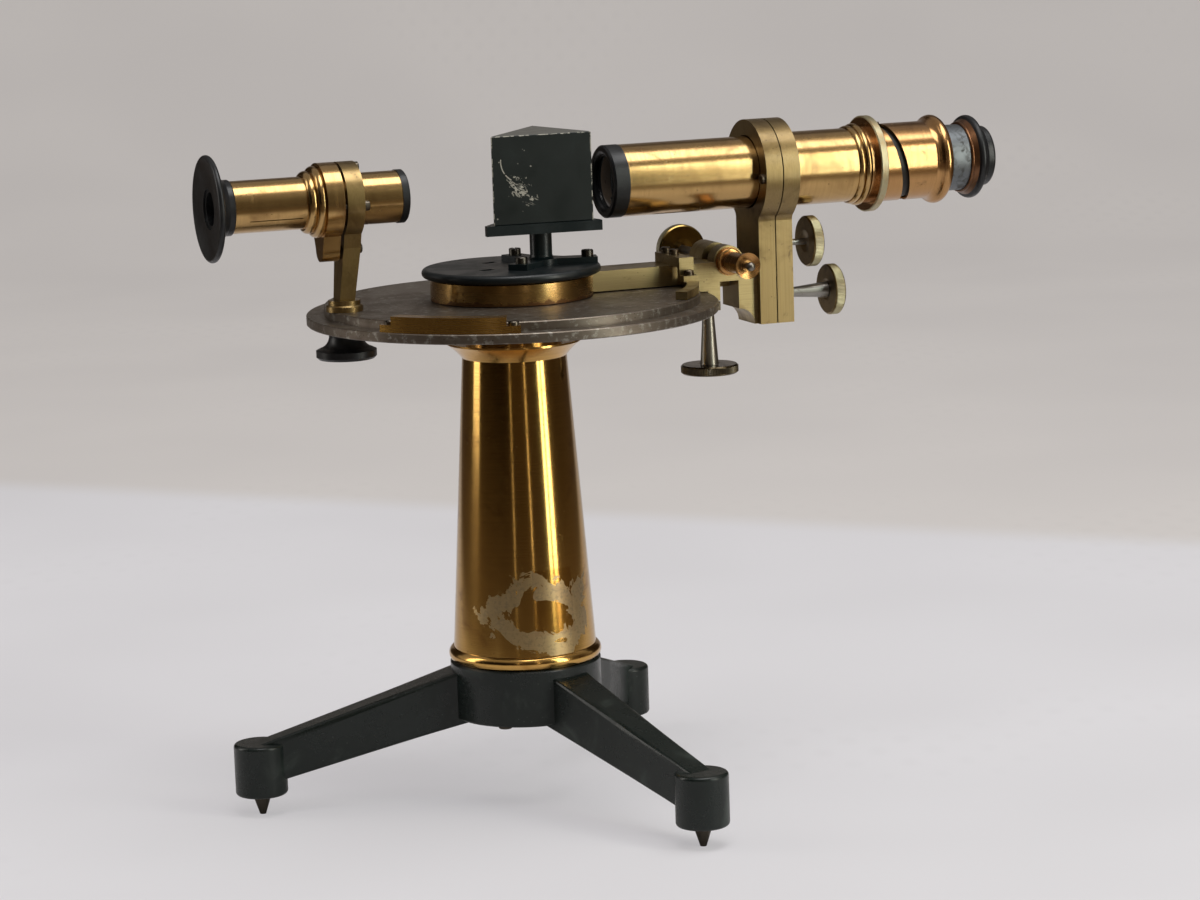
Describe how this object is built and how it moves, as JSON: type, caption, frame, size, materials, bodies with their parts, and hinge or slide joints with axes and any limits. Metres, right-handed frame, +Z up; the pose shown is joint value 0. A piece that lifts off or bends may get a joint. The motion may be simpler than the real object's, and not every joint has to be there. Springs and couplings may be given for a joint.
{
  "type": "goniometer",
  "caption": "Prism goniometer on a tripod stand: divided circle, fixed viewing tube, turning prism table, and a telescope on a swinging arm with clamp and tangent screw.",
  "frame": {"origin": "on the column's vertical axis, at the level of the spike tips", "axes": "+X along both tubes from the viewing tube towards the telescope at rest, +Y to the back, +Z up"},
  "size_m": [0.3454, 0.2127, 0.2791],
  "materials": {
    "black_enamel": "worn stoved black enamel",
    "dark_steel": "browned steel",
    "lacquered_brass": "aged golden lacquer over turned brass",
    "gunmetal": "tarnished grey brown",
    "silvered": "dulled silvering over brass",
    "black_lacquer": "black lacquer over brass",
    "lens_glass": "polished",
    "blacked_glass": "black coated ground glass"
  },
  "bodies": {
    "stand": {"tripod": "black_enamel", "foot_spikes": "dark_steel", "hub_screws": "black_enamel", "column": "lacquered_brass", "column_bead": "lacquered_brass", "column_neck": "lacquered_brass", "axle": "dark_steel", "limb_plate": "gunmetal", "divided_circle": "gunmetal", "limb_vernier": "silvered", "limb_vernier_screws": "dark_steel", "viewer_pillar": "lacquered_brass", "pillar_base": "lacquered_brass", "viewer_flange": "lacquered_brass", "viewer_tube": "lacquered_brass", "viewer_screws": "dark_steel", "viewer_cap": "black_lacquer", "viewer_lens": "lens_glass"},
    "pillar_nut": {"stand_knob": "black_lacquer"},
    "viewer_eyepiece": {"eyecup": "black_lacquer", "viewer_drawtube": "lacquered_brass", "eyepiece_lens": "lens_glass"},
    "arm": {"arm_hub": "lacquered_brass", "arm_bar": "lacquered_brass", "arm_vernier": "silvered", "arm_vernier_screws": "dark_steel", "spring_barrel": "lacquered_brass", "plunger_spring": "dark_steel", "guard_carrier": "lacquered_brass", "guard_screw": "dark_steel"},
    "plunger": {"plunger": "dark_steel"},
    "pad": {"tangent_pad": "dark_steel"},
    "tangent": {"tangent_screw": "dark_steel", "tangent_knob": "lacquered_brass"},
    "clamp": {"clamp_block": "lacquered_brass"},
    "jaw": {"clamp_jaw": "dark_steel"},
    "clamp_screw": {"clamp_stem": "lacquered_brass", "clamp_knob": "lacquered_brass"},
    "telescope": {"tilt_carrier": "lacquered_brass", "telescope_tube": "lacquered_brass", "objective_cell": "black_lacquer", "objective_lens": "lens_glass", "focus_guide": "lacquered_brass", "guide_tube": "lacquered_brass"},
    "upper_adjuster": {"upper_screw": "dark_steel", "upper_knob": "lacquered_brass"},
    "lower_adjuster": {"lower_screw": "dark_steel", "lower_knob": "lacquered_brass"},
    "focus": {"focus_sleeve": "lacquered_brass"},
    "draw": {"drawtube": "silvered", "draw_collar": "lacquered_brass", "eye_ring": "black_lacquer", "eye_disc": "black_lacquer", "guide_pin": "lacquered_brass"},
    "table": {"table_disc": "black_lacquer", "spider": "black_lacquer", "spider_screws": "dark_steel", "prism_plate": "black_lacquer", "prism": "blacked_glass"}
  },
  "joints": [
    {"name": "arm_swing", "type": "hinge", "parent": "stand", "child": "arm", "pos_m": [0, 0, 0.216], "axis": [0, 0, 1], "range_deg": [-98, 138]},
    {"name": "table_turn", "type": "hinge", "parent": "stand", "child": "table", "pos_m": [0, 0, 0.2225], "axis": [0, 0, 1], "continuous": true},
    {"name": "eyepiece_slide", "type": "slide", "parent": "stand", "child": "viewer_eyepiece", "axis": [-1, 0, 0], "range_m": [0, 0.008]},
    {"name": "pillar_nut_turn", "type": "hinge", "parent": "stand", "child": "pillar_nut", "pos_m": [-0.0722, 0, 0.197], "axis": [0, 0, 1], "range_deg": [0, 180]},
    {"name": "telescope_tilt", "type": "hinge", "parent": "arm", "child": "telescope", "pos_m": [0.1136, 0, 0.2144], "axis": [0, 1, 0], "range_deg": [-0.35, 0.35]},
    {"name": "lower_screw_turn", "type": "hinge", "parent": "telescope", "child": "lower_adjuster", "pos_m": [0.13, 0, 0.2039], "axis": [-1, 0, 0], "range_deg": [-46.5, 46.5]},
    {"name": "upper_screw_turn", "type": "hinge", "parent": "telescope", "child": "upper_adjuster", "pos_m": [0.13, 0, 0.2252], "axis": [-1, 0, 0], "range_deg": [-48, 48]},
    {"name": "focus_turn", "type": "hinge", "parent": "telescope", "child": "focus", "pos_m": [0.175, 0, 0.2564], "axis": [-1, 0, 0], "range_deg": [0, 180.5]},
    {"name": "draw_slide", "type": "slide", "parent": "telescope", "child": "draw", "axis": [1, 0, 0], "range_m": [0, 0.0107]},
    {"name": "tangent_fine", "type": "hinge", "parent": "arm", "child": "clamp", "pos_m": [0, 0, 0.2097], "axis": [0, 0, 1], "range_deg": [-0.306, 0.306]},
    {"name": "pad_slide", "type": "slide", "parent": "arm", "child": "pad", "axis": [0, 1, 0], "range_m": [-0.00051, 0.00051]},
    {"name": "tangent_screw_turn", "type": "hinge", "parent": "pad", "child": "tangent", "pos_m": [0.0935, 0.04, 0.2204], "axis": [0, 1, 0], "range_deg": [-300, 300]},
    {"name": "plunger_slide", "type": "slide", "parent": "arm", "child": "plunger", "axis": [0, 1, 0], "range_m": [-0.00051, 0.00051]},
    {"name": "jaw_slide", "type": "slide", "parent": "clamp", "child": "jaw", "axis": [0, 0, 1], "range_m": [0, 0.00025]},
    {"name": "clamp_screw_turn", "type": "hinge", "parent": "jaw", "child": "clamp_screw", "pos_m": [0.0872, 0, 0.18], "axis": [0, 0, 1], "range_deg": [0, 120.1]}
  ],
  "couplings": [
    {"joint": "lower_screw_turn", "follows": "telescope_tilt", "ratio": 131.95},
    {"joint": "upper_screw_turn", "follows": "telescope_tilt", "ratio": -135.72},
    {"joint": "focus_turn", "follows": "draw_slide", "rad_per_m": 293.61},
    {"joint": "pad_slide", "follows": "tangent_fine", "m_per_rad": 0.0935},
    {"joint": "plunger_slide", "follows": "tangent_fine", "m_per_rad": 0.0935},
    {"joint": "tangent_screw_turn", "follows": "tangent_fine", "ratio": 979.13},
    {"joint": "clamp_screw_turn", "follows": "jaw_slide", "rad_per_m": 8377.6}
  ]
}
